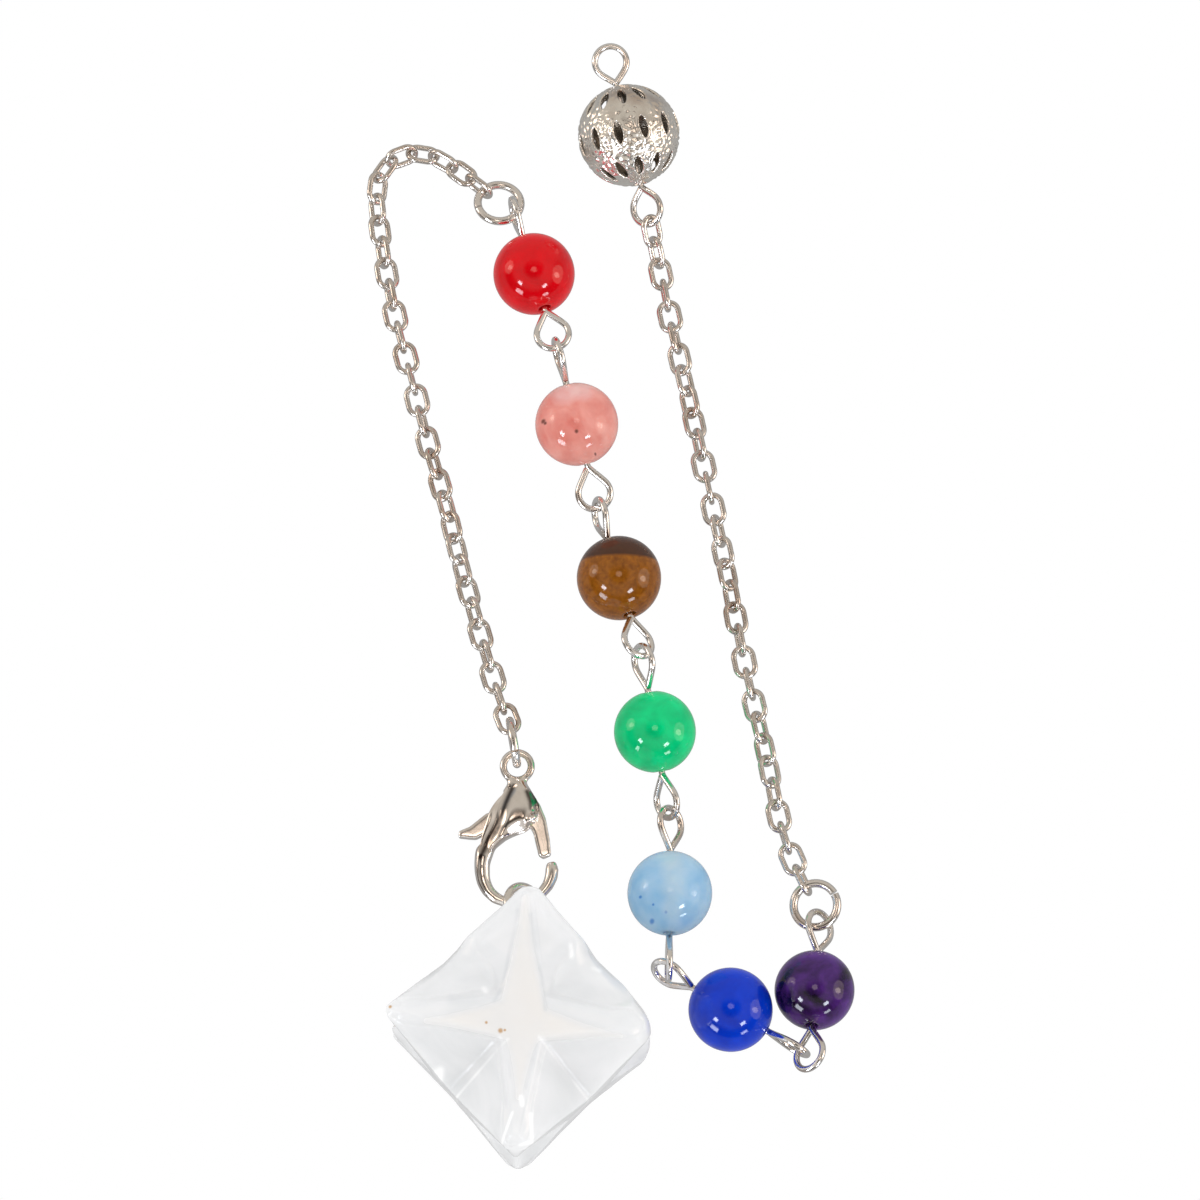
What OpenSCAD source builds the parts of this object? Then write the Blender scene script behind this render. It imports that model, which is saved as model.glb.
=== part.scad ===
// Dowsing pendulum laid on a table, in millimetres, +Z up, with the table at Z = 0.
// Seven drilled beads on looped pins hang between two jump rings. A chain runs from one
// ring to a pierced metal ball, and a chain from the other ring to a lobster clasp, whose
// hook holds the ring of a carved quartz star.

/* [Stone] */
// Side of the cube that the star's eight spikes reach into
star_side = 18.4; // [14:0.2:24]
// Half width of the flat star that is ground on each side
star_flat = 2.7; // [1.5:0.1:4]
// How far each spike's tip is worn back
tip_wear = 0.75; // [0.3:0.05:1.2]
// Diameter of the hole through the spike
star_hole_d = 1.6; // [1.4:0.05:1.7]
// Level distance from the spike's sharp corner in to the hole
hole_inset = 2.5; // [2.4:0.05:3]
// Turn of the star on the table
star_turn = -3; // [-8:1:4]

/* [Beads] */
// Diameter of a bead
bead_d = 8; // [6.5:0.1:10]
// Diameter of the hole along a bead
bead_hole_d = 1.2; // [1:0.05:1.8]

/* [Pins] */
// Wire of the looped pins
pin_wire = 0.7; // [0.5:0.05:0.8]
// Outer width of a pin's eye
eye_width = 3.85; // [3.6:0.05:4.4]
// Length of an eye past its bead
eye_length = 4.75; // [4.3:0.05:5.4]
// Length of an eye past the ball
ball_eye_length = 4.3; // [4.1:0.05:5]

/* [Rings] */
// Outer diameter of the jump rings
ring_d = 5; // [4.7:0.1:5.8]
// Wire of the jump rings
ring_wire = 0.8; // [0.6:0.05:0.9]
// Opening left at a ring's seam, in degrees
ring_seam = 5; // [3:1:12]

/* [Chain] */
// Outer length of a link
link_length = 3.4; // [3:0.05:4.2]
// Outer width of a link
link_width = 2.4; // [2.3:0.05:3]
// Wire of a link
link_wire = 0.54; // [0.4:0.02:0.56]

/* [Ball] */
// Diameter of the pierced ball
ball_d = 10; // [8:0.2:13]
// Wall of the ball
ball_wall = 0.4; // [0.3:0.05:0.8]
// Diameter of the hole at each end of the ball
ball_hole_d = 1.5; // [1.2:0.05:2.2]
// Petal slots in one round
petals = 12; // [8:1:14]
// Length of a petal slot
petal_length = 2.5; // [1.6:0.1:2.8]
// Width of a petal slot
petal_width = 0.8; // [0.5:0.05:1]

/* [Clasp] */
// Length of the clasp's body, from the middle of its own ring to the end of its hook
clasp_span = 13.7; // [13.2:0.1:16]
// Thickness of the clasp where it is thickest
clasp_thick = 3.3; // [2.9:0.1:4]
// Outer diameter of the ring cast on the clasp
clasp_eye_d = 3.5; // [3.3:0.05:4]
// Thickness of the ring cast on the clasp
clasp_eye_wire = 0.8; // [0.6:0.05:0.9]
// Thickness of the lever
lever_thick = 1.3; // [0.9:0.05:1.5]
// Diameter of the rivet that the lever turns on
rivet_d = 0.8; // [0.6:0.05:0.9]

/* [Hidden] */

// Gap between two metal pieces that hook together.
hook_gap = 0.1;
// Gap between the sliding faces of the clasp, and round its rivet.
slide_gap = 0.06;
rivet_gap = 0.03;

// Columns of the bead table: size as a share of bead_d, heading of the pin on the table,
// rise of the pin's far end, turn of the near eye, turn of the far eye, all in degrees, and
// how far the near eye hangs slack in the eye before it, as a share of eye_length.
SHARE = 0; HEADING = 1; RISE = 2; NEAR_TURN = 3; FAR_TURN = 4; SLACK = 5;
BEADS = [
    [1.00, -74.0,  12,  85,   0, 0.00],
    [1.01, -75.3, -12,  85,   0, 0.03],
    [1.02, -74.6,  12,  72, -38, 0.02],
    [0.98, -80.4,  -9,  60,  55, 0.09],
    [1.01, -91.0,   8, -50,  88, 0.03],
    [1.00, -31.0,   4,  62,  88, 0.33],
    [0.95,  84.5, -18, -42,  43, 0.13]
];
// Middle of the first bead on the table, and of the ball.
STRAND_START = [-6.4, 31.5];
BALL_AT = [2.8, 45.2];
BALL_HEADING = -76;
BALL_RISE = -10;
BALL_EYE_TURN = 36;
// Middle of the clasp's own ring.
CLASP_AT = [-7.9, -16.6];

// Few chosen points of each chain on the table, between the pieces that hold its ends.
DROP_ROUTE = [
    [-14.1, 42.9], [-16.0, 44.1], [-17.8, 44.6], [-19.6, 44.3], [-21.2, 43.1], [-21.9, 41.0],
    [-21.8, 38.9], [-21.2, 34.6], [-20.0, 28.2], [-18.3, 21.7], [-16.7, 15.4], [-14.9, 9.2],
    [-13.4, 3.1], [-11.6, -3.3], [-9.8, -9.4]
];
GRIP_ROUTE = [
    [5.9, 32.5], [6.8, 28.0], [8.7, 19.4], [10.5, 10.9], [12.3, 2.2], [13.9, -6.5],
    [15.8, -14.9], [17.5, -23.2]
];
// Turn of each chain's first and last link, and the half turns that it is twisted by.
DROP_TURNS = [105, 0]; DROP_HALF_TURNS = 1;
GRIP_TURNS = [144, 110]; GRIP_HALF_TURNS = 2;

// How each ring lies: its roll, its tilt and the heading of its seat in the pin's eye, then
// the heading at which it holds its chain, its height, and its slack in the eye.
UPPER_LIE = [-15, 8, -40]; UPPER_CHAIN = 135; UPPER_Z = 1.8; UPPER_SLACK = 0.8;
LOWER_LIE = [12, 0, -80]; LOWER_CHAIN = 118; LOWER_Z = 1.35; LOWER_SLACK = 0.7;
CLASP_RING_HEADING = -80.5;
STAR_RING_TILT = 41; STAR_RING_TURN = 17;

// The clasp's body in sections, from its neck round to the hook's tip: left and right
// edges and half thickness. All are shares of clasp_span, the last of clasp_thick.
CLASP_SECTIONS = [
    [-0.050, -0.092,  0.050, -0.092, 0.16],
    [-0.088, -0.152,  0.086, -0.146, 0.30],
    [-0.148, -0.240,  0.130, -0.220, 0.41],
    [-0.212, -0.338,  0.158, -0.300, 0.49],
    [-0.252, -0.425,  0.160, -0.385, 0.50],
    [-0.280, -0.520,  0.092, -0.458, 0.46],
    [-0.294, -0.612, -0.058, -0.508, 0.38],
    [-0.300, -0.680, -0.148, -0.580, 0.28],
    [-0.297, -0.748, -0.186, -0.695, 0.23],
    [-0.281, -0.828, -0.184, -0.792, 0.19],
    [-0.244, -0.898, -0.158, -0.858, 0.19],
    [-0.176, -0.962, -0.108, -0.902, 0.19],
    [-0.080, -0.996, -0.046, -0.926, 0.19],
    [ 0.030, -0.998,  0.030, -0.926, 0.19],
    [ 0.120, -0.972,  0.096, -0.904, 0.19],
    [ 0.192, -0.928,  0.146, -0.864, 0.19],
    [ 0.250, -0.866,  0.180, -0.812, 0.19],
    [ 0.284, -0.798,  0.194, -0.758, 0.19],
    [ 0.294, -0.728,  0.196, -0.712, 0.18],
    [ 0.272, -0.664,  0.200, -0.680, 0.12]
];
SECTION_SIDES = 16;
// The lever in plan, as shares of clasp_span: its pivot, its thumb piece and its gate.
PIVOT_SHARE = [0.088, -0.314];
THUMB = [[0.070, -0.290], [-0.212, -0.336], [-0.330, -0.432], [-0.404, -0.462], [-0.408, -0.506],
    [-0.334, -0.514], [-0.285, -0.518], [0.050, -0.345]];
GATE = [[0.156, -0.268], [0.200, -0.372], [0.228, -0.520], [0.238, -0.628], [0.182, -0.653],
    [0.150, -0.632], [0.112, -0.470], [0.060, -0.385]];
BOSS_SHARE = 0.082;
// The turn that the slot leaves room for, and the angles round the pivot that it covers.
LEVER_SWING = 28;
THUMB_FROM = 177; THUMB_TO = 212; GATE_FROM = -92; GATE_TO = 48; SLOT_MARGIN = 3;

function on_table(heading) = [cos(heading), sin(heading)];

// Eyes of the pins
eye_r = (eye_width - pin_wire) / 2;
eye_mid = eye_length - eye_r - pin_wire / 2;
ball_eye_mid = ball_eye_length - eye_r - pin_wire / 2;
ring_r = (ring_d - ring_wire) / 2;

// Beads on the table, each placed from the one before it by the two hooked eyes
function bead_r(i) = BEADS[i][SHARE] * bead_d / 2;
function reach(i) = (bead_r(i) + eye_mid) * cos(BEADS[i][RISE]);
function bead_xy(i) = i == 0 ? STRAND_START : bead_xy(i - 1)
    + on_table(BEADS[i - 1][HEADING])
        * (reach(i - 1) + 2 * eye_r - pin_wire - hook_gap - BEADS[i][SLACK] * eye_length)
    + on_table(BEADS[i][HEADING]) * reach(i);
last = len(BEADS) - 1;

// A ring's wire passes through an eye this far past the middle of the eye.
function ring_seat(slack) = eye_r - (pin_wire + ring_wire) / 2 - slack;
upper_ring_xy = bead_xy(0) - on_table(BEADS[0][HEADING]) * (reach(0) + ring_seat(UPPER_SLACK))
    - on_table(UPPER_LIE[2]) * ring_r;
lower_ring_xy = bead_xy(last)
    + on_table(BEADS[last][HEADING]) * (reach(last) + ring_seat(LOWER_SLACK))
    - on_table(LOWER_LIE[2]) * ring_r;

// The clasp lies flat, and its ring stands on edge through the ring cast on the clasp.
clasp_z = clasp_thick / 2;
clasp_eye_r = (clasp_eye_d - clasp_eye_wire) / 2;
clasp_ring_z = ring_d / 2;
clasp_ring_back = clasp_eye_r + sqrt(
    pow(ring_r - (ring_wire + clasp_eye_wire) / 2 - hook_gap, 2)
    - pow(clasp_ring_z - clasp_z, 2));
clasp_ring_xy = CLASP_AT - on_table(CLASP_RING_HEADING) * clasp_ring_back;
pivot = PIVOT_SHARE * clasp_span;
boss_r = BOSS_SHARE * clasp_span;
slot_thick = lever_thick + 2 * slide_gap;
rivet_length = slot_thick + 0.8;

// The star's ring goes round the hook and through the star's hole.
STAR_RING_SHARE = [0.055, -0.995];
star_ring_xy = CLASP_AT + STAR_RING_SHARE * clasp_span;
star_ring_z = ring_r * sin(STAR_RING_TILT) + ring_wire / 2;
star_half = star_side / 2;
tip_heading = 90 + star_turn;
hole_xy = star_ring_xy - on_table(90 + STAR_RING_TURN) * ring_r;
star_xy = hole_xy - on_table(tip_heading) * (star_half * sqrt(2) - hole_inset);

// Level reach of a worn tip from the star's middle: where the ridge from the sharp corner
// meets the ball that rounds the tips
tip_ball_r = star_half * sqrt(3) - tip_wear;
ridge = 1 - star_flat / star_half;
ridge_share = ((1 + ridge) - sqrt(pow(1 + ridge, 2)
    - (1 + ridge * ridge / 2) * (3 - pow(tip_ball_r / star_half, 2)))) / (1 + ridge * ridge / 2);
tip_reach = star_half * sqrt(2) * (1 - ridge_share * ridge / 2);

// Routes of the chains, with the joints between the links evenly spaced along them
chain_z = link_width / 2;
link_pitch = link_length - 2 * link_wire - hook_gap;
function ring_hold(xy, z, lie, heading) = let (
    r = ring_r - (ring_wire + hook_gap) / 2,
    x = r * cos(heading - lie[2]),
    y = r * sin(heading - lie[2]),
    level = x * cos(lie[1]) - y * sin(lie[0]) * sin(lie[1]),
    rise = x * sin(lie[1]) + y * sin(lie[0]) * cos(lie[1]),
    flat = xy + level * on_table(lie[2]) + y * cos(lie[0]) * on_table(lie[2] + 90)
) [flat.x, flat.y, z + rise];
upper_hold = ring_hold(upper_ring_xy, UPPER_Z, UPPER_LIE, UPPER_CHAIN);
lower_hold = ring_hold(lower_ring_xy, LOWER_Z, LOWER_LIE, LOWER_CHAIN);
ball_reach = (ball_d / 2 + ball_eye_mid) * cos(BALL_RISE) + eye_r - (pin_wire + hook_gap) / 2;
ball_hold = BALL_AT + on_table(BALL_HEADING) * ball_reach;
ball_hold_z = ball_d / 2 + ball_reach * sin(BALL_RISE);
clasp_hold_drop = 0.65;
clasp_hold_back = (link_wire + hook_gap) / 2 + sqrt(
    pow(ring_r - (ring_wire + link_wire) / 2 - hook_gap, 2) - pow(clasp_hold_drop, 2));
clasp_hold = clasp_ring_xy - on_table(CLASP_RING_HEADING) * clasp_hold_back;

function lay(route, z) = [for (p = route) [p.x, p.y, z]];
drop_line = concat(
    [upper_hold], lay(DROP_ROUTE, chain_z),
    [[clasp_hold.x, clasp_hold.y, clasp_ring_z - clasp_hold_drop]]);
grip_line = concat(
    [[ball_hold.x, ball_hold.y, ball_hold_z]], lay(GRIP_ROUTE, chain_z),
    [lower_hold]);

// A smooth curve through the points, cut into short steps and kept clear of the table
STEPS = 10;
function bend(a, b, c, d, t) =
    (2 * b + (c - a) * t + (2 * a - 5 * b + 4 * c - d) * t * t
        + (3 * b - a - 3 * c + d) * t * t * t) / 2;
function lifted(p) = [p.x, p.y, max(p.z, chain_z)];
function smooth(line) = let (n = len(line) - 1) concat(
    [for (i = [0 : n - 1], k = [0 : STEPS - 1])
        lifted(bend(line[max(i - 1, 0)], line[i], line[i + 1], line[min(i + 2, n)], k / STEPS))],
    [line[n]]);
function runs(curve) = [for (i = 0, s = 0; i < len(curve);
    s = s + (i + 1 < len(curve) ? norm(curve[i + 1] - curve[i]) : 0), i = i + 1) s];
function along(curve, run, s) = [for (axis = [0 : 2])
    lookup(s, [for (i = [0 : len(curve) - 1]) [run[i], curve[i][axis]]])];
function joints(line) = let (
    curve = smooth(line),
    run = runs(curve),
    whole = run[len(run) - 1],
    n = ceil(whole / link_pitch)
) [for (i = [0 : n]) along(curve, run, whole * i / n)];
drop_joints = joints(drop_line);
grip_joints = joints(grip_line);

// The model's origin is under the middle of its outline.
bead_far_x = max([for (i = [0 : last]) bead_xy(i).x + bead_r(i)]);
chain_near_x = min([for (p = drop_joints) p.x]) - 0.37 * link_width;
eye_far_y = BALL_AT.y
    - sin(BALL_HEADING) * (ball_d / 2 + ball_eye_mid) * cos(BALL_RISE) + eye_width / 2;
star_near_y = star_xy.y - tip_reach * sin(tip_heading);
origin_xy = [(bead_far_x + chain_near_x) / 2, (eye_far_y + star_near_y) / 2];

$fn = 48;
BALL_STEPS = 72;

// Places a piece on the table at its height, in the frame that has the origin at its middle
module place(xy, z = 0) {
    translate([xy.x - origin_xy.x, xy.y - origin_xy.y, z]) children();
}

module ring_of(outer_d, wire, seam) {
    rotate([0, 0, seam / 2])
        rotate_extrude(angle = 360 - seam)
            translate([(outer_d - wire) / 2, 0]) circle(d = wire);
}

// A link lies along X, with two straight sides and two round ends.
module link() {
    round_r = (link_width - link_wire) / 2;
    straight = link_length - link_width;
    for (half_turn = [0, 180]) rotate([0, 0, half_turn]) {
        translate([0, round_r, 0]) rotate([0, 90, 0])
            cylinder(d = link_wire, h = straight, center = true);
        translate([straight / 2, 0, 0]) rotate([0, 0, -90])
            rotate_extrude(angle = 180) translate([round_r, 0]) circle(d = link_wire);
    }
}

// Each link is turned a quarter turn from the one before, and the chain's own twist is
// shared out so that its last link ends at its own turn.
module chain(stops, turns, half_turns) {
    n = len(stops) - 1;
    spare = turns[1] - turns[0] - 90 * (n - 1);
    twist = (180 * half_turns + spare - 180 * round(spare / 180)) / (n - 1);
    for (i = [0 : n - 1]) {
        step = stops[i + 1] - stops[i];
        middle = (stops[i + 1] + stops[i]) / 2;
        place([middle.x, middle.y], middle.z)
            rotate([turns[0] + i * (90 + twist), -asin(step.z / norm(step)), atan2(step.y, step.x)])
                link();
    }
}

// The wire of an eye in its own plane, from the bead's face outward: a leg, a round loop
// and a cut end that stops beside the leg.
EYE_START = 0.25;
EYE_STEPS = 14;
function eye_wire(middle) = let (
    spread = asin(eye_r / (middle - EYE_START)),
    cut_back = (pin_wire + hook_gap) / (2 * sin(spread)),
    corner = [EYE_START, 0],
    leg = on_table(spread)
) concat(
    [corner - [0.12, 0], corner + leg * 0.12],
    [for (k = [0 : EYE_STEPS])
        [middle, 0] + eye_r * on_table((90 + spread) * (1 - 2 * k / EYE_STEPS))],
    [corner + on_table(-spread) * cut_back]);

// A wire with round ends of its sections on a list of points, each with a normal to its bend
WIRE_SIDES = 8;
CORE_STEPS = 5;
function ahead(points, i) = let (d = points[min(i + 1, len(points) - 1)] - points[max(i - 1, 0)])
    d / norm(d);
function wire_rings(points, normals) = [for (i = [0 : len(points) - 1]) let (
    t = ahead(points, i),
    n = normals[i],
    b = cross(t, n)
) for (k = [0 : WIRE_SIDES - 1]) let (a = 360 * (k + 0.5) / WIRE_SIDES)
    points[i] + (n * cos(a) + b * sin(a)) * pin_wire / 2];

// Faces of a tube of m rings with n points each, closed at both ends
function tube_faces(m, n) = concat(
    [[for (k = [0 : n - 1]) k]],
    [for (i = [0 : m - 2], k = [0 : n - 1], half = [0, 1]) half == 0
        ? [i * n + k, (i + 1) * n + k, (i + 1) * n + (k + 1) % n]
        : [i * n + k, (i + 1) * n + (k + 1) % n, i * n + (k + 1) % n]],
    [[for (k = [n - 1 : -1 : 0]) (m - 1) * n + k]]);

// A pin is one wire along X through a bead of the given radius, with an eye at each end.
module pin(radius, middle, near_turn, far_turn) {
    flat = eye_wire(middle);
    count = len(flat);
    near = [for (i = [count - 1 : -1 : 0])
        [-radius - flat[i].x, -flat[i].y * cos(near_turn), -flat[i].y * sin(near_turn)]];
    far = [for (p = flat) [radius + p.x, p.y * cos(far_turn), p.y * sin(far_turn)]];
    core = [for (k = [1 : CORE_STEPS - 1]) [radius * (2 * k / CORE_STEPS - 1), 0, 0]];
    turns = concat([for (p = near) near_turn],
        [for (k = [1 : CORE_STEPS - 1]) near_turn + (far_turn - near_turn) * k / CORE_STEPS],
        [for (p = far) far_turn]);
    normals = [for (t = turns) [0, -sin(t), cos(t)]];
    points = concat(near, core, far);
    polyhedron(points = wire_rings(points, normals), faces = tube_faces(len(points), WIRE_SIDES));
}

// A ball turned about Z, with a hole along Z, and hollow where inner_r is above zero
module drilled_ball(outer_r, inner_r, hole_d) {
    rotate_extrude($fn = BALL_STEPS) difference() {
        circle(r = outer_r, $fn = BALL_STEPS);
        if (inner_r > 0) circle(r = inner_r, $fn = BALL_STEPS);
        translate([-2 * outer_r, -2 * outer_r])
            square([2 * outer_r + hole_d / 2, 4 * outer_r]);
    }
}

module bead(i) {
    place(bead_xy(i), bead_r(i)) rotate([0, -BEADS[i][RISE], BEADS[i][HEADING]])
        rotate([0, 90, 0]) drilled_ball(bead_r(i), 0, bead_hole_d);
}

module bead_pin(i) {
    color("silver") place(bead_xy(i), bead_r(i))
        rotate([0, -BEADS[i][RISE], BEADS[i][HEADING]])
            pin(bead_r(i), eye_mid, BEADS[i][NEAR_TURN], BEADS[i][FAR_TURN]);
}

// The star is a cube whose twelve edges are cut away, each by a notch between two spikes.
// On each side a flat four-armed star is left, with its arms at the cube's corners.
SIDES = [
    [[0, 0, 1], [1, 0, 0], [0, 1, 0]], [[0, 0, -1], [0, 1, 0], [1, 0, 0]],
    [[1, 0, 0], [0, 1, 0], [0, 0, 1]], [[-1, 0, 0], [0, 0, 1], [0, 1, 0]],
    [[0, 1, 0], [0, 0, 1], [1, 0, 0]], [[0, -1, 0], [1, 0, 0], [0, 0, 1]]
];
function side_flat(s) = let (out = SIDES[s][0], u = SIDES[s][1], v = SIDES[s][2],
    h = star_half, c = star_flat) [
    out * h, out * h + u * c, (out + u + v) * h, out * h + v * c, (out - u + v) * h,
    out * h - u * c, (out - u - v) * h, out * h - v * c, (out + u - v) * h];
star_points = [for (s = [0 : 5], p = side_flat(s)) p];
flat_faces = [for (s = [0 : 5], k = [1 : 8]) [9 * s, 9 * s + 1 + k % 8, 9 * s + k]];
// Each notch joins the middles of two sides' edges to the cube's corner at either end.
notch_faces = [for (s = [0 : 5], k = [1 : 2 : 7]) let (
    middle = 9 * s + k,
    corner = star_points[9 * s + 1 + k % 8],
    before = star_points[9 * s + (k == 1 ? 8 : k - 1)],
    mate = [for (t = [0 : 5], j = [1 : 2 : 7]) let (
        a = star_points[9 * t + 1 + j % 8],
        b = star_points[9 * t + (j == 1 ? 8 : j - 1)])
        if (t != s && norm(a - before) < 0.001 && norm(b - corner) < 0.001) 9 * t + j][0]
) [middle, 9 * s + 1 + k % 8, mate]];

module star_body() {
    polyhedron(points = star_points, faces = concat(flat_faces, notch_faces));
}

module star() {
    color("whitesmoke") difference() {
        intersection() {
            place(star_xy, star_half) rotate([0, 0, star_turn + 45]) star_body();
            place(star_xy, star_half) sphere(r = tip_ball_r);
        }
        place(star_ring_xy, star_ring_z) rotate([0, STAR_RING_TILT, STAR_RING_TURN])
            rotate_extrude(angle = 180, start = 180)
                translate([ring_r, 0]) circle(d = star_hole_d);
    }
}

module star_ring() {
    color("silver") place(star_ring_xy, star_ring_z)
        rotate([0, STAR_RING_TILT, STAR_RING_TURN]) rotate([0, 0, 200]) ring_of(ring_d, ring_wire, ring_seam);
}

// Points of one section of the clasp's body, an oval between its two edges
function section(row) = let (
    left = [row[0], row[1]] * clasp_span,
    right = [row[2], row[3]] * clasp_span,
    middle = (left + right) / 2,
    half = (right - left) / 2,
    thick = row[4] * clasp_thick
) [for (k = [0 : SECTION_SIDES - 1]) let (
    a = 360 * k / SECTION_SIDES,
    lift = sign(sin(a)) * pow(abs(sin(a)), 0.85) * thick,
    p = middle + half * cos(a)
) [p.x, p.y, lift]];
clasp_points = [for (row = CLASP_SECTIONS, p = section(row)) p];
clasp_faces = tube_faces(len(CLASP_SECTIONS), SECTION_SIDES);

function sector(from, to, radius) = concat([[0, 0]],
    [for (k = [0 : 12]) radius * on_table(from + (to - from) * k / 12)]);

module clasp_body() {
    color("silver") place(CLASP_AT, clasp_z) difference() {
        union() {
            polyhedron(points = clasp_points, faces = clasp_faces);
            ring_of(clasp_eye_d, clasp_eye_wire, 0);
        }
        translate([pivot.x, pivot.y, 0]) {
            translate([0, 0, -slot_thick / 2]) linear_extrude(slot_thick) {
                circle(r = boss_r + 2 * slide_gap);
                polygon(sector(THUMB_FROM - LEVER_SWING - SLOT_MARGIN, THUMB_TO + SLOT_MARGIN,
                    0.6 * clasp_span));
                polygon(sector(GATE_FROM - LEVER_SWING - SLOT_MARGIN, GATE_TO + SLOT_MARGIN,
                    0.36 * clasp_span));
            }
            cylinder(d = rivet_d + 2 * rivet_gap, h = rivet_length + 2 * rivet_gap, center = true);
        }
    }
}

module clasp_lever() {
    color("gainsboro") place(CLASP_AT, clasp_z - lever_thick / 2) difference() {
        union() {
            linear_extrude(lever_thick) polygon(THUMB * clasp_span);
            linear_extrude(lever_thick) polygon(GATE * clasp_span);
            translate(pivot) cylinder(r = boss_r, h = lever_thick);
        }
        translate([pivot.x, pivot.y, -lever_thick])
            cylinder(d = rivet_d + 2 * rivet_gap, h = 3 * lever_thick);
    }
}

module clasp_rivet() {
    color("silver") place(CLASP_AT + pivot, clasp_z)
        cylinder(d = rivet_d, h = rivet_length, center = true);
}

module clasp_ring() {
    color("silver") place(clasp_ring_xy, clasp_ring_z)
        rotate([90, 0, CLASP_RING_HEADING]) rotate([0, 0, 60])
            ring_of(ring_d, ring_wire, ring_seam);
}

module drop_chain() {
    color("lightgray") chain(drop_joints, DROP_TURNS, DROP_HALF_TURNS);
}

module upper_ring() {
    color("silver") place(upper_ring_xy, UPPER_Z)
        rotate([UPPER_LIE[0], -UPPER_LIE[1], UPPER_LIE[2]]) rotate([0, 0, -120])
            ring_of(ring_d, ring_wire, ring_seam);
}

module bead_red() { color("crimson") bead(0); }
module bead_pink() { color("lightcoral") bead(1); }
module bead_brown() { color("saddlebrown") bead(2); }
module bead_green() { color("mediumseagreen") bead(3); }
module bead_sky() { color("skyblue") bead(4); }
module bead_blue() { color("mediumblue") bead(5); }
module bead_purple() { color("indigo") bead(6); }

module lower_ring() {
    color("silver") place(lower_ring_xy, LOWER_Z)
        rotate([LOWER_LIE[0], -LOWER_LIE[1], LOWER_LIE[2]]) rotate([0, 0, 110])
            ring_of(ring_d, ring_wire, ring_seam);
}

module grip_chain() {
    color("lightgray") chain(grip_joints, GRIP_TURNS, GRIP_HALF_TURNS);
}

// A petal slot is the shape that two round arcs share.
module petal(length, width) {
    arc_r = (length * length + width * width) / (4 * width);
    intersection() {
        translate([0, arc_r - width / 2]) circle(r = arc_r);
        translate([0, -arc_r + width / 2]) circle(r = arc_r);
    }
}

module ball() {
    ROWS = [[-46, 0], [0, 0.5], [46, 0]];
    color("lightsteelblue") place(BALL_AT, ball_d / 2)
        rotate([0, -BALL_RISE, BALL_HEADING]) difference() {
            rotate([0, 90, 0]) rotate([0, 0, 90 / petals])
                drilled_ball(ball_d / 2, ball_d / 2 - ball_wall, ball_hole_d);
            for (row = ROWS, k = [0 : petals - 1])
                rotate([(k + row[1]) * 360 / petals, 0, 0]) rotate([0, 0, row[0]])
                    translate([0, 0.35 * ball_d, 0]) rotate([-90, 0, 0])
                        linear_extrude(0.3 * ball_d) petal(petal_length, petal_width);
        }
}

module ball_pin() {
    color("silver") place(BALL_AT, ball_d / 2)
        rotate([0, -BALL_RISE, BALL_HEADING])
            pin(ball_d / 2, ball_eye_mid, 0, BALL_EYE_TURN);
}

star();
star_ring();
clasp_body();
clasp_lever();
clasp_rivet();
clasp_ring();
drop_chain();
upper_ring();
bead_red();
bead_pink();
bead_brown();
bead_green();
bead_sky();
bead_blue();
bead_purple();
bead_pin(0);  // pin_red
bead_pin(1);  // pin_pink
bead_pin(2);  // pin_brown
bead_pin(3);  // pin_green
bead_pin(4);  // pin_sky
bead_pin(5);  // pin_blue
bead_pin(6);  // pin_purple
lower_ring();
grip_chain();
ball();
ball_pin();
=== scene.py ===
# A dowsing pendulum laid out flat: a carved quartz star on a lobster clasp, a nickel chain,
# seven stone beads on looped pins, a second chain and a pierced filigree ball.
# All sizes are in metres, and MM turns a length in millimetres into one.
import math

import bmesh
import bpy
from mathutils import Matrix, Vector, kdtree, noise


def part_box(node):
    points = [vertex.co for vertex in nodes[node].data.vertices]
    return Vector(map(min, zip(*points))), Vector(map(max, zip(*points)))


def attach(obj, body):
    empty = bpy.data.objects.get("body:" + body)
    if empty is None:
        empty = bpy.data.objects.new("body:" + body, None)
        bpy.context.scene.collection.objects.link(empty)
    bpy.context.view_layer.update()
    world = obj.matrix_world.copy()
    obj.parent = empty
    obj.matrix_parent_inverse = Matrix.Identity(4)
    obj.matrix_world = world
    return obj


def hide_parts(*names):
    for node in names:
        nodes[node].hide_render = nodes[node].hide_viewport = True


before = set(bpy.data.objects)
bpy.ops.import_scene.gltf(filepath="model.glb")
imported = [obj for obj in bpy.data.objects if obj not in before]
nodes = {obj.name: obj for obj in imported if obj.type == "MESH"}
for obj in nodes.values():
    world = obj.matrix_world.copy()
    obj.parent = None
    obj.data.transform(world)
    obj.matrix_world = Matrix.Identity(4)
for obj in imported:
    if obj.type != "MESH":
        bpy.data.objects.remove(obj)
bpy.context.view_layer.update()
MM = 0.001


# Table, lights and camera
# The pendulum lies on a white light table, so no shadow shows under it. Two windows in front
# and three soft lamps above make the highlights on the polished stones.
def linear(code):
    """Turns an sRGB hex colour into a linear one with full alpha."""
    channels = [int(code[i:i + 2], 16) / 255 for i in (1, 3, 5)]
    return [c / 12.92 if c <= 0.04045 else ((c + 0.055) / 1.055) ** 2.4 for c in channels] + [1.0]


def add(tree, kind, inputs, **settings):
    """Adds a shader node, sets it up, links or fills its inputs, and gives its first live output."""
    made = tree.nodes.new("ShaderNode" + kind)
    for name, value in settings.items():
        setattr(made, name, value)
    for name, value in inputs.items():
        if isinstance(value, bpy.types.NodeSocket):
            tree.links.new(value, made.inputs[name])
        else:
            made.inputs[name].default_value = value
    return next((out for out in made.outputs if out.enabled), None)


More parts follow.
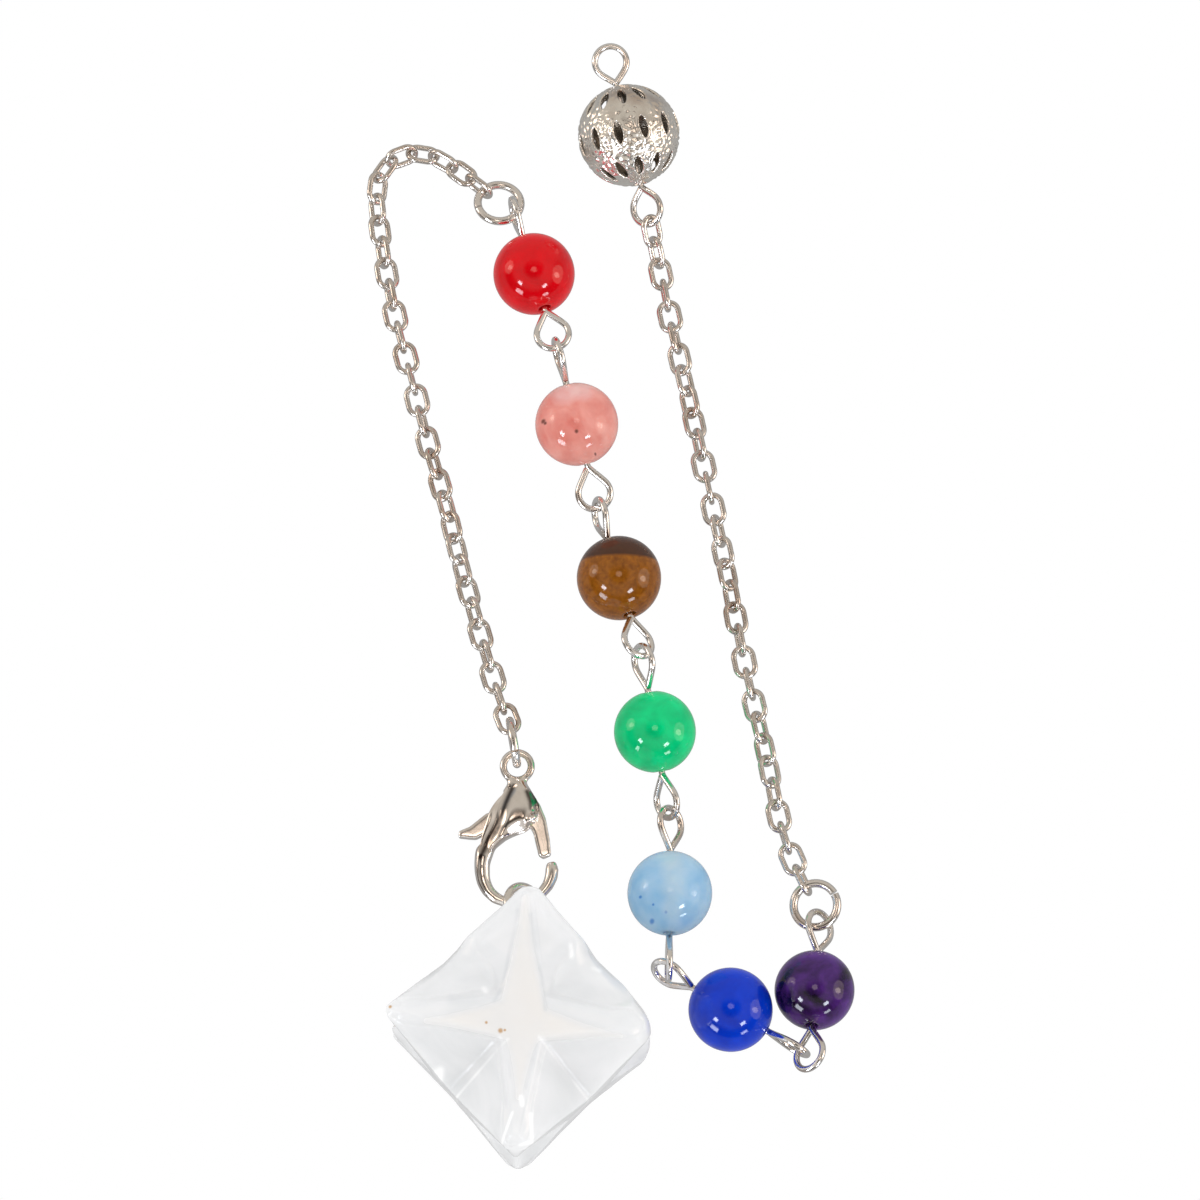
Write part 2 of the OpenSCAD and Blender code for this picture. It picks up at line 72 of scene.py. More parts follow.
scene = bpy.context.scene
scene.view_settings.view_transform = "Standard"

TABLE_SIZE = 1.6
TABLE_DROP = 0.05 * MM
TABLE_WHITE = 1.0
TABLE_IN_GLOSS = 0.40
TABLE_IN_DIFFUSE = 1.35
table_mesh = bpy.data.meshes.new("light_table")
bm = bmesh.new()
bmesh.ops.create_grid(bm, x_segments=1, y_segments=1, size=TABLE_SIZE / 2)
bmesh.ops.translate(bm, verts=bm.verts, vec=(0, 0, -TABLE_DROP))
bm.to_mesh(table_mesh)
bm.free()
table = bpy.data.objects.new("light_table", table_mesh)
scene.collection.objects.link(table)

# Opal acrylic, lit from below: even white to the eye, and a quieter grey in polished metal
opal = bpy.data.materials.new("opal_acrylic")
opal.use_nodes = True
tree = opal.node_tree
tree.nodes.clear()
path = tree.nodes.new("ShaderNodeLightPath")
glow = add(tree, "Mix", {"Factor": path.outputs["Is Glossy Ray"], "A": TABLE_WHITE, "B": TABLE_IN_GLOSS})
spread = add(tree, "Mix", {"Factor": path.outputs["Is Diffuse Ray"], "A": glow, "B": TABLE_IN_DIFFUSE})
shine = add(tree, "Emission", {"Color": linear("#FFFFFF"), "Strength": spread})
add(tree, "OutputMaterial", {"Surface": shine})
table.data.materials.append(opal)

# The room, from the floor up to the ceiling: dark below, a pale band of wall, dark above
ROOM_STRENGTH = 0.9
ROOM_SHADES = [(0.0, "#6A625A"), (0.12, "#38302A"), (0.36, "#4A423A"), (0.56, "#D0C9C0"),
               (0.84, "#E0D9D0"), (0.93, "#4A423A"), (1.0, "#2E2823")]
FAR_WALL = "#CCC5BB"
FAR_WALL_FROM = 0.1
FAR_WALL_TO = 0.55
TENT_LIGHT = 1.4
room = bpy.data.worlds.new("studio")
room.use_nodes = True
tree = room.node_tree
tree.nodes.clear()
around = tree.nodes.new("ShaderNodeTexCoord").outputs["Generated"]
height = add(tree, "SeparateXYZ", {0: around}).node
ramp = add(tree, "ValToRGB", {"Fac": height.outputs["Z"]}).node
for stop, (place, shade) in zip(ramp.color_ramp.elements, (ROOM_SHADES[0], ROOM_SHADES[-1])):
    stop.position = place
    stop.color = linear(shade)
for place, shade in ROOM_SHADES[1:-1]:
    ramp.color_ramp.elements.new(place).color = linear(shade)
# The far side of the room is an even grey wall
behind = add(tree, "MapRange", {
    "Value": height.outputs["Y"], "From Min": FAR_WALL_FROM, "From Max": FAR_WALL_TO})
shades = add(tree, "Mix", {
    "Factor": behind, "A": ramp.outputs["Color"], "B": linear(FAR_WALL)}, data_type="RGBA")
# Diffuse light comes evenly from the white tent, and only polish mirrors the room's shades
path = tree.nodes.new("ShaderNodeLightPath")
walls = add(tree, "Mix", {
    "Factor": path.outputs["Is Glossy Ray"], "A": (TENT_LIGHT, TENT_LIGHT, TENT_LIGHT, 1),
    "B": shades}, data_type="RGBA")
air = add(tree, "Background", {"Color": walls, "Strength": ROOM_STRENGTH})
add(tree, "OutputWorld", {"Surface": air})
scene.world = room


def softbox(name, toward, distance, width, depth, watts, shade, shape="RECTANGLE"):
    """A lamp that faces the middle of the pendulum and is seen only in gloss and clear stone."""
    lamp = bpy.data.lights.new(name, "AREA")
    lamp.shape = shape
    lamp.size = width
    lamp.size_y = depth
    lamp.energy = watts
    lamp.color = linear(shade)[:3]
    held = bpy.data.objects.new(name, lamp)
    held.location = Vector(toward).normalized() * distance
    held.rotation_euler = Vector(toward).to_track_quat("Z", "Y").to_euler()
    held.visible_diffuse = False
    scene.collection.objects.link(held)


LAMP_AWAY = 0.9
BULB_AWAY = 0.8
WARM_LAMP = "#FFEBDA"
DAYLIGHT = "#EEF5FF"
softbox("window_left", (-0.637, -0.529, 0.561), LAMP_AWAY, 0.19, 0.15, 2.0, DAYLIGHT)
softbox("window_left_low", (-0.609, -0.767, 0.201), LAMP_AWAY, 0.30, 0.20, 2.2, DAYLIGHT)
softbox("window_right", (0.494, -0.677, 0.545), LAMP_AWAY, 0.20, 0.13, 1.8, DAYLIGHT)
softbox("window_right_low", (0.487, -0.861, 0.144), LAMP_AWAY, 0.22, 0.13, 1.0, DAYLIGHT)
softbox("lamp_left", (-0.936, 0.23, 0.269), LAMP_AWAY, 0.46, 0.48, 1.0, WARM_LAMP, "ELLIPSE")
softbox("lamp_left_bulb", (-0.92, 0.20, 0.33), BULB_AWAY, 0.16, 0.20, 0.35, WARM_LAMP, "ELLIPSE")
softbox("lamp_middle", (0, -0.01, 1.0), LAMP_AWAY, 0.26, 0.24, 0.45, WARM_LAMP, "ELLIPSE")
softbox("lamp_right", (0.96, -0.058, 0.274), LAMP_AWAY, 0.70, 0.66, 2.0, WARM_LAMP, "ELLIPSE")
softbox("lamp_right_bulb", (0.93, -0.10, 0.35), BULB_AWAY, 0.18, 0.26, 0.6, WARM_LAMP, "ELLIPSE")

CAMERA_TILT = math.radians(12)
CAMERA_AWAY = 500 * MM
LENS_LENGTH = 155.4
SENSOR_WIDTH = 36
AIM = Vector((-0.61 * MM, 0.59 * MM, 0))
lens = bpy.data.cameras.new("camera")
lens.lens = LENS_LENGTH
lens.sensor_width = SENSOR_WIDTH
camera = bpy.data.objects.new("camera", lens)
camera.location = AIM + CAMERA_AWAY * Vector((0, -math.sin(CAMERA_TILT), math.cos(CAMERA_TILT)))
camera.rotation_euler = (CAMERA_TILT, 0, 0)
scene.collection.objects.link(camera)
scene.camera = camera


# Star
# One lump of clear quartz, sawn and ground by hand into eight spikes, with flat four-armed
# stars left on its sides. The grinding is fine but not polished, and the tips are worn.
JOINED_WITHIN = 0.002 * MM


def copy_of(name):
    """A bmesh of a CAD node with its loose triangles joined up."""
    bm = bmesh.new()
    bm.from_mesh(nodes[name].data)
    bmesh.ops.remove_doubles(bm, verts=bm.verts, dist=JOINED_WITHIN)
    return bm


def piece(name, bm, finish, node, body="pendulum"):
    """Turns a finished bmesh into a piece that rides on a body, and hides the CAD node it takes the place
    of.
    """
    mesh = bpy.data.meshes.new(name)
    bm.to_mesh(mesh)
    bm.free()
    mesh.materials.append(finish)
    made = bpy.data.objects.new(name, mesh)
    scene.collection.objects.link(made)
    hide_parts(node)
    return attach(made, body)


def start_finish(name):
    """A new material, with its node tree, its shader and its Object coordinates."""
    made = bpy.data.materials.new(name)
    made.use_nodes = True
    tree = made.node_tree
    coords = tree.nodes.new("ShaderNodeTexCoord").outputs["Object"]
    return made, tree, tree.nodes["Principled BSDF"], coords


SPECK_CORE = 0.4


def specks(tree, own, colour, spots, shade, strength=0.8):
    """Stained spots in a stone, each as mm to the right of and above its middle, and its size."""
    in_plan = add(tree, "VectorMath", {0: own, 1: (1, 1, 0)}, operation="MULTIPLY")
    for right, up, reach in spots:
        spot = (right * MM, up * MM, 0)
        away = add(tree, "VectorMath", {0: in_plan, 1: spot}, operation="DISTANCE")
        here = add(tree, "MapRange", {
            "Value": away, "From Min": reach * MM, "From Max": SPECK_CORE * reach * MM,
            "To Max": strength})
        colour = add(tree, "Mix", {"Factor": here, "A": colour, "B": linear(shade)}, data_type="RGBA")
    return colour


STAR_LOW, STAR_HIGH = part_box("star")
STAR_MIDDLE = (STAR_LOW + STAR_HIGH) / 2
STAR_HALF = (STAR_HIGH.z - STAR_LOW.z) / 2
STAR_TURN = math.radians(42)

# Rock crystal, IOR 1.544: glassy but hazed where it is ground, and milky on the flat stars
GRIND_SIZE = 2.381 * MM
MILK_SIZE = 6.25 * MM
VEIL_SIZE = 9.09 * MM
quartz, tree, shader, coords = start_finish("ground_rock_crystal")
own = add(tree, "Mapping", {"Vector": coords, "Location": -STAR_MIDDLE})
flat = add(tree, "Attribute", {}, attribute_name="milk").node.outputs["Fac"]
cloud = add(tree, "TexNoise", {"Vector": coords, "Scale": 1 / MILK_SIZE, "Detail": 5, "Roughness": 0.55})
milk = add(tree, "MapRange", {"Value": cloud, "From Min": 0.3, "From Max": 0.6, "To Min": 0.5, "To Max": 1})
frost = add(tree, "Math", {0: flat, 1: milk}, operation="MULTIPLY")
clear = add(tree, "MapRange", {"Value": frost, "To Min": 0.12, "To Max": 0.08})
tree.links.new(clear, shader.inputs["Transmission Weight"])
veil = add(tree, "TexNoise", {
    "Vector": own, "Scale": 1 / VEIL_SIZE, "Detail": 4, "Roughness": 0.5, "Distortion": 1.5})
veil_share = add(tree, "MapRange", {"Value": veil, "From Min": 0.35, "From Max": 0.65})
clear_tone = add(tree, "Mix", {
    "Factor": veil_share, "A": linear("#DEDFE0"), "B": linear("#E7E7E8")}, data_type="RGBA")
tone = add(tree, "Mix", {"Factor": frost, "A": clear_tone, "B": linear("#E2DFDC")}, data_type="RGBA")
# Bright glints and fine shadows along the ground edges are painted on the stone's points
marks = add(tree, "Attribute", {}, attribute_name="marks").node.outputs["Fac"]
glint = add(tree, "MapRange", {"Value": marks, "From Min": 0.05, "From Max": 1})
bright = add(tree, "Mix", {"Factor": glint, "A": tone, "B": linear("#FFFFFF")}, data_type="RGBA")
shadow = add(tree, "MapRange", {"Value": marks, "From Min": -0.05, "From Max": -1})
lined = add(tree, "Mix", {"Factor": shadow, "A": bright, "B": linear("#C2C6CA")}, data_type="RGBA")
# Specks of iron stain by the left tip and under the flat star
STAINS = [(-12.1, 0.9, 0.22), (-3.3, -0.6, 0.18), (-2.0, -1.35, 0.3), (-1.6, -1.3, 0.16)]
stained = specks(tree, own, lined, STAINS, "#B98A4A")
tree.links.new(stained, shader.inputs["Base Color"])
haze = add(tree, "MapRange", {"Value": frost, "To Min": 0.22, "To Max": 0.45})
tree.links.new(haze, shader.inputs["Roughness"])
grain = add(tree, "TexNoise", {"Vector": coords, "Scale": 1 / GRIND_SIZE, "Detail": 6, "Roughness": 0.6})
dent = add(tree, "Bump", {"Height": grain, "Strength": 0.2, "Distance": 0.05 * MM})
tree.links.new(dent, shader.inputs["Normal"])
shader.inputs["IOR"].default_value = 1.544
shader.inputs["Specular IOR Level"].default_value = 0.25
shader.inputs["Subsurface Weight"].default_value = 0.4
shader.inputs["Subsurface Scale"].default_value = 3 * MM
shader.inputs["Subsurface Radius"].default_value = (1, 1, 1)


def worn_down(made, voxel, rounds):
    """Evens out a piece's mesh on a fine grid, rounds its edges and gives it back as a bmesh."""
    remesh = made.modifiers.new("grid", "REMESH")
    remesh.mode = "VOXEL"
    remesh.voxel_size = voxel
    soften = made.modifiers.new("worn", "SMOOTH")
    soften.factor = 0.5
    soften.iterations = rounds
    bpy.context.view_layer.update()
    worn = bpy.data.meshes.new_from_object(made.evaluated_get(bpy.context.evaluated_depsgraph_get()))
    made.modifiers.clear()
    bm = bmesh.new()
    bm.from_mesh(worn)
    bm.normal_update()
    for face in bm.faces:
        face.smooth = True
    bpy.data.meshes.remove(worn)
    return bm


def smooth_out(bm, rounds):
    """Evens out a bmesh's points a number of times."""
    for turn in range(rounds):
        bmesh.ops.smooth_vert(
            bm, verts=bm.verts, factor=0.5, use_axis_x=True, use_axis_y=True, use_axis_z=True)


def within(value, low=0, high=1):
    """Keeps a value within two limits."""
    return max(low, min(high, value))


def fade(away, width, power=2):
    """1 at a mark's middle, fading out over its width."""
    return math.exp(-(away / width) ** power)


def along(path, spot):
    """The distance in plan from a spot to a path of points."""
    near = []
    for start, end in zip(path, path[1:]):
        run = end - start
        share = within((spot - start).dot(run) / run.length_squared)
        near.append((spot - start - share * run).length)
    return min(near)


def drawn(strokes):
    """Strokes with the points of their paths made vectors."""
    return [([Vector(point) for point in path], width, share) for path, width, share in strokes]


def marked(strokes, spot):
    """How much a set of strokes marks a spot: path, width and strength of each."""
    return sum(share * fade(along(path, spot), width) for path, width, share in strokes)


# The corners are rounded off to a fixed reach, in half widths of the stone. It is shorter on
# the right, where the stone is most worn, and longer on the left. A higher focus keeps the wear
# nearer to each tip.
STAR_GRIT = 0.17 * MM
CORNER_POWER = 6
CORNER_REACH = 1.10
RIGHT_WORN = 0.10
RIGHT_WAY = (0.97, 0.24)
BOTTOM_WORN = 0.01
LEFT_LONG = 0.05
WEAR_FOCUS = 6
# The upper notches and the corners are filled up to a least reach, inside the sawn cube. The
# filling sets in over a stretch, both given in half widths.
UPPER_FROM = 0.1
UPPER_STRETCH = 0.5
CORNER_FROM = 0.5
CORNER_STRETCH = 0.3
LEAST_REACH = 1.04
CORNER_FILL = 1.09
CUBE_REACH = 0.985
# Hand grinding leaves waves of about 3 mm and ripples of 0.9 mm, given as waves to the metre
WAVES = 330
WAVE_DEPTH = 0.10
RIPPLES = 1100
RIPPLE_DEPTH = 0.04
# The flat stars stand out from their sides, in the outermost layer of the stone
ARM_RISE = 0.2 * MM
ARM_LAYER = 0.6 * MM
MILK_LAYER = 1.5 * MM
ARM_SOFT = 0.8
ARM_CURVE = 1.4
# The four arms of the flat star in mm from the middle: start, tip and half width at each
ARMS = [((0, -0.3), (0.25, 10.9), 2.3, 0.15), ((0, -0.3), (-8.8, -0.4), 2.3, 0.1),
        ((0, -0.5), (9.1, -1.8), 1.8, 0.0), ((0, -0.5), (-0.3, -7.4), 1.9, 0.1)]


def on_arms(spot):
    """How far a spot in plan lies on the flat star: 1 inside, 0 outside, soft at the edge."""
    best = 0
    for start, tip, wide, narrow in ARMS:
        start = Vector(start)
        run = Vector(tip) - start
        share = within((spot - start).dot(run) / run.length_squared)
        away = (spot - start - share * run).length
        half = narrow + (wide - narrow) * (1 - share) ** ARM_CURVE
        best = max(best, 0.5 + (half - away) / ARM_SOFT)
    return min(1, best)


star = piece("star_stone", copy_of("star"), quartz, "star")
bm = worn_down(star, STAR_GRIT, rounds=3)
to_star = Matrix.Rotation(-STAR_TURN, 3, "Z")
for vert in bm.verts:
    out = vert.co - STAR_MIDDLE
    share = (to_star @ out) / STAR_HALF
    length = sum(abs(c) ** CORNER_POWER for c in share) ** (1 / CORNER_POWER)
    upper = within((out.y / STAR_HALF - UPPER_FROM) / UPPER_STRETCH)
    upper *= within(0.5 + 2 * out.z / STAR_HALF)
    corner = within((min(abs(share.x), abs(share.y)) - CORNER_FROM) / CORNER_STRETCH)
    filled = max(upper, corner)
    least = LEAST_REACH + (CORNER_FILL - LEAST_REACH) * corner
    grown = min(least / length, CUBE_REACH / max(abs(c) for c in share))
    if grown > 1:
        out *= 1 + filled * (grown - 1)
        length *= 1 + filled * (grown - 1)
        vert.co = STAR_MIDDLE + out
    plan = out.copy()
    plan.z = 0
    plan.normalize()
    rightward = plan.x * RIGHT_WAY[0] + plan.y * RIGHT_WAY[1]
    reach = CORNER_REACH - RIGHT_WORN * max(0, rightward) ** WEAR_FOCUS
    reach -= BOTTOM_WORN * max(0, -plan.y) ** WEAR_FOCUS
    reach += LEFT_LONG * max(0, -plan.x) ** WEAR_FOCUS
    if length > reach:
        vert.co = STAR_MIDDLE + out * (reach / length)
    wave = 0.5 + 0.5 * noise.noise(vert.co * WAVES)
    ripple = 0.5 + 0.5 * noise.noise(vert.co * RIPPLES)
    vert.co -= vert.normal * (WAVE_DEPTH * wave + RIPPLE_DEPTH * ripple) * MM
    if abs(out.z) > STAR_HALF - ARM_LAYER:
        vert.co.z -= math.copysign(ARM_RISE, out.z) * (1 - on_arms(out.xy / MM))
smooth_out(bm, rounds=3)

# Glints (1) and fine shadows (-1) on the upper side, in mm from the stone's middle, with
# their half width: the two lower grooves, the drop in the lower arm, a chip and the arm edges
STROKES = [
    ([(-1.3, -2.1), (-7.3, -7.9)], 0.14, 0.8), ([(1.5, -1.9), (6.8, -7.9)], 0.13, 0.6),
    ([(-0.9, -8.8), (-1.9, -11.6)], 0.13, 0.9), ([(0.8, -8.9), (0.9, -11.4), (-0.2, -11.7)], 0.15, 1),
    ([(-0.1, -7.4), (0.0, -8.1)], 0.2, 1), ([(-8.9, -5.0), (-7.6, -4.4), (-7.9, -5.9)], 0.35, 1),
    ([(-9.8, -4.6), (-8.6, -6.0)], 0.3, 1), ([(4.4, 6.6), (4.5, 5.6)], 0.22, 0.9),
    ([(6.5, 4.6), (7.0, 4.5)], 0.25, 0.9), ([(-3.6, 2.6), (-3.4, 2.4)], 0.25, 1),
    ([(0.7, 9.4), (1.2, 5.8), (1.75, 3.6), (2.1, 0.6)], 0.20, -0.4),
    ([(-0.5, 9.8), (-1.2, 6.1), (-1.8, 2.8), (-2.6, 1.4)], 0.20, -0.35),
    ([(-1.5, -2.8), (-1.1, -5.6)], 0.16, -0.25), ([(1.3, -2.6), (0.3, -6.6)], 0.16, -0.25),
    ([(5.4, 7.4), (6.0, 6.2)], 0.5, -0.5), ([(-6.4, 1.5), (-4.5, 1.6)], 0.6, -0.25)]
# A glint comes and goes along its stroke in patches of about 2.4 mm, given as patches to the metre
PATCHES = 420
strokes = drawn(STROKES)
painted = bm.verts.layers.float.new("marks")
milky = bm.verts.layers.float.new("milk")
for vert in bm.verts:
    spot = (vert.co - STAR_MIDDLE).xy / MM
    if abs(vert.co.z - STAR_MIDDLE.z) > STAR_HALF - MILK_LAYER:
        vert[milky] = on_arms(spot)
    if vert.co.z > STAR_MIDDLE.z:
        patchy = within(0.75 + 0.9 * noise.noise(vert.co * PATCHES))
        vert[painted] = patchy * marked(strokes, spot)
bm.to_mesh(star.data)
bm.free()


# Clasp, rings and pins
# Cast and bent nickel-plated brass and iron, tumbled bright. The plate is a warm grey, and
# the cast clasp has the softest edges.
STAIN_SIZE = 3.846 * MM
TUMBLE_SIZE = 1.111 * MM
TUMBLE_DEPTH = 0.05 * MM


def nickel(name, shade, roughness, waviness):
    """Bright nickel plate: a metal, slightly wavy from tumbling, with faint warm stains."""
    made, tree, shader, coords = start_finish(name)
    stain = add(tree, "TexNoise", {"Vector": coords, "Scale": 1 / STAIN_SIZE, "Detail": 3})
    warm = add(tree, "MapRange", {"Value": stain, "From Min": 0.5, "From Max": 0.75})
    tone = add(tree, "Mix", {"Factor": warm, "A": linear(shade), "B": linear("#C9B9AC")}, data_type="RGBA")
    tree.links.new(tone, shader.inputs["Base Color"])
    wave = add(tree, "TexNoise", {"Vector": coords, "Scale": 1 / TUMBLE_SIZE, "Detail": 2})
    bend = add(tree, "Bump", {"Height": wave, "Strength": waviness, "Distance": TUMBLE_DEPTH})
    tree.links.new(bend, shader.inputs["Normal"])
    shader.inputs["Metallic"].default_value = 1
    shader.inputs["Roughness"].default_value = roughness
    return made


def darkened(finish, share, shade):
    """Mixes a darker shade into a plate where a share, from its own node tree, says so."""
    tree = finish.node_tree
    shader = tree.nodes["Principled BSDF"]
    plate = shader.inputs["Base Color"].links[0].from_socket
    mixed = add(tree, "Mix", {"Factor": share, "A": plate, "B": linear(shade)}, data_type="RGBA")
    tree.links.new(mixed, shader.inputs["Base Color"])


plated_pin = nickel("nickel_plated_wire", "#F0EDEA", 0.17, 0.02)
plated_ring = nickel("nickel_plated_ring", "#F0EBE6", 0.18, 0.02)
plated_clasp = nickel("nickel_plated_casting", "#F2ECE6", 0.18, 0.03)
plated_chain = nickel("nickel_plated_chain", "#E2DCD6", 0.22, 0.12)
# Painted dark reflections lie on the casting's plate where its points say so
painted_dark = add(plated_clasp.node_tree, "Attribute", {}, attribute_name="painted_reflection").node.outputs["Fac"]
darkened(plated_clasp, painted_dark, "#352C26")

# The cut end of an eye is known by its eight sides and its area
EYE_CLOSING = 0.5 * MM
CAP_SIDES = 8
CAP_AREA = 0.3465 * MM * MM
CAP_SPREAD = 0.05
SAME_WAY = 0.99995


def close_eyes(bm):
    """Carries the cut end of each eye on towards the stem, as pliers leave it."""
    waiting = set(bm.faces)
    while waiting:
        first = waiting.pop()
        flat, edge = [first], [first]
        while edge:
            face = edge.pop()
            for near in [f for e in face.edges for f in e.link_faces if f in waiting]:
                if near.normal.dot(first.normal) > SAME_WAY:
                    waiting.discard(near)
                    flat.append(near)
                    edge.append(near)
        area = sum(f.calc_area() for f in flat)
        if len(flat) == CAP_SIDES - 2 and abs(area - CAP_AREA) < CAP_SPREAD * CAP_AREA:
            way = first.normal.copy()
            cap = bmesh.ops.dissolve_faces(bm, faces=flat)["region"][0]
            for step in range(2):
                cap = bmesh.ops.extrude_discrete_faces(bm, faces=[cap])["faces"][0]
                bmesh.ops.translate(bm, verts=cap.verts, vec=way * EYE_CLOSING / 2)


CREASE_ANGLE = math.radians(50)
CREASE = 0.8
WIRE_LEVELS = 2


def bent_wire(name, node):
    """A looped pin with its flats rounded off and a crease along its sharp edges."""
    bm = copy_of(node)
    close_eyes(bm)
    bmesh.ops.join_triangles(
        bm, faces=bm.faces, angle_face_threshold=math.radians(25),
        angle_shape_threshold=math.radians(60))
    crease = bm.edges.layers.float.new("crease_edge")
    for edge in bm.edges:
        if len(edge.link_faces) == 2 and edge.calc_face_angle(0) > CREASE_ANGLE:
            edge[crease] = CREASE
    for face in bm.faces:
        face.smooth = True
    made = piece(name, bm, plated_pin, node)
    rounding = made.modifiers.new("rounding", "SUBSURF")
    rounding.levels = WIRE_LEVELS
    rounding.render_levels = WIRE_LEVELS


COLOURS = ["red", "pink", "brown", "green", "sky", "blue", "purple"]
for colour in COLOURS:
    bent_wire("wire_" + colour, "pin_" + colour)
bent_wire("wire_ball", "ball_pin")

# The casting has one lobe from its neck into the hook and one to the knob over the rivet, with
# hollows between them on both faces. Each hollow: path from the clasp's ring, width and depth.
CLASP_RING_AT = Vector((-8.513, -16.013)) * MM
HOLLOWS = [
    ([(-0.5, -2.2), (-1.1, -3.7), (-1.8, -5.5), (-2.7, -7.1), (-3.0, -7.9)], 0.50, 0.70),
    ([(1.15, -3.0), (1.35, -4.6)], 0.30, 0.45),
    ([(-0.6, -6.6), (0.5, -6.1)], 0.60, 0.35)]
KNOB = Vector((1.45, -5.35))
KNOB_RISE = 0.95
KNOB_WIDTH = 0.65
# The two cheeks swell out to the left and right below the neck, over the gate's root
CHEEK_AT = (0.1, -3.7)
CHEEK_LEFT = 0.40
CHEEK_RIGHT = 0.65
CHEEK_SOFT = 0.8
CHEEK_LENGTH = 1.5
CHEEK_FROM = 0.3
CHEEK_STRETCH = 0.3
CLASP_GRIT = 0.11 * MM
casting = piece("clasp_casting", copy_of("clasp_body"), plated_clasp, "clasp_body")
bm = worn_down(casting, CLASP_GRIT, rounds=20)
clasp_low, clasp_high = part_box("clasp_body")
clasp_half = (clasp_high.z - clasp_low.z) / 2
hollows = drawn(HOLLOWS)
for vert in bm.verts:
    spot = (vert.co.xy - CLASP_RING_AT) / MM
    height = (vert.co.z - clasp_low.z - clasp_half) / clasp_half
    sink = marked(hollows, spot)
    if height > 0:
        sink -= KNOB_RISE * fade((spot - KNOB).length, KNOB_WIDTH, 4)
    vert.co.z -= sink * within(2 * height, -1) * MM
    aside = within((spot.x - CHEEK_AT[0]) / CHEEK_SOFT, -1)
    swell = fade(spot.y - CHEEK_AT[1], CHEEK_LENGTH)
    swell *= within((abs(height) - CHEEK_FROM) / CHEEK_STRETCH)
    vert.co.x += swell * aside * (CHEEK_RIGHT if aside > 0 else CHEEK_LEFT) * MM
smooth_out(bm, rounds=16)
# Dark reflections are painted along the hollows and the hook: path, width and how dark
REFLECTION_STREAKS = [
    ([(-0.4, -2.0), (-0.8, -3.0), (-1.3, -4.4), (-1.9, -5.7), (-2.7, -7.1), (-3.4, -8.8)], 0.30, 0.95),
    ([(0.9, -2.6), (1.25, -3.6), (1.3, -4.3)], 0.20, 0.75),
    ([(-1.6, -6.2), (0.1, -5.2), (0.6, -4.9)], 0.22, 0.55),
    ([(-3.5, -8.8), (-3.7, -9.9), (-3.3, -11.4), (-2.8, -12.5)], 0.14, 0.65),
    ([(1.5, -2.6), (2.0, -3.9)], 0.45, 0.88)]
painted_reflection = drawn(REFLECTION_STREAKS)
painted_dark = bm.verts.layers.float.new("painted_reflection")
for vert in bm.verts:
    vert[painted_dark] = min(1, marked(painted_reflection, (vert.co.xy - CLASP_RING_AT) / MM))
bm.to_mesh(casting.data)
bm.free()

# The gate is cast too, and its hole stays clear of the rivet that it turns on
GATE_GRIT = 0.09 * MM
RIVET_PLAY = 0.08 * MM
gate = piece("clasp_gate", copy_of("clasp_lever"), plated_clasp, "clasp_lever", body="lever")
bm = worn_down(gate, GATE_GRIT, rounds=24)
rivet_low, rivet_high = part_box("clasp_rivet")
rivet_middle = (rivet_low + rivet_high) / 2
hole = (rivet_high.x - rivet_low.x) / 2 + RIVET_PLAY
for vert in bm.verts:
    away = vert.co.xy - rivet_middle.xy
    if away.length < hole:
        vert.co.xy = rivet_middle.xy + away.normalized() * hole
bm.to_mesh(gate.data)
bm.free()

# The rings, the rivet and the chains keep their own forms and only take their plate
PLATES = {"star_ring": plated_ring, "clasp_ring": plated_ring, "upper_ring": plated_ring,
          "lower_ring": plated_ring, "clasp_rivet": plated_ring, "drop_chain": plated_chain,
          "grip_chain": plated_chain}
for node, plate in PLATES.items():
    nodes[node].data.materials.clear()
    nodes[node].data.materials.append(plate)


# Beads
# Seven round beads of polished stone, drilled through, each threaded on its own looped pin.
# They are turned in a mill, so they are a little out of round.
BORE = 0.6 * MM
# The broken edge at a mouth of the bore, in mm out from the bore and down from its rim
MOUTH_EDGE = [(0, 0.14), (0.05, 0.04)]
# The wire inside this share of the radius is straight and gives the bore's direction
CORE_SHARE = 0.9
ARC_FROM = 1.35
ARC_STEPS = 40
ROUND_STEPS = 72
# Each bead strays from round in waves of about 6 mm, given as waves to the metre, and its place
# on the table decides which waves it gets
OUT_OF_ROUND = 0.006
BEAD_WAVES = 160
BEAD_CHANCE = 900


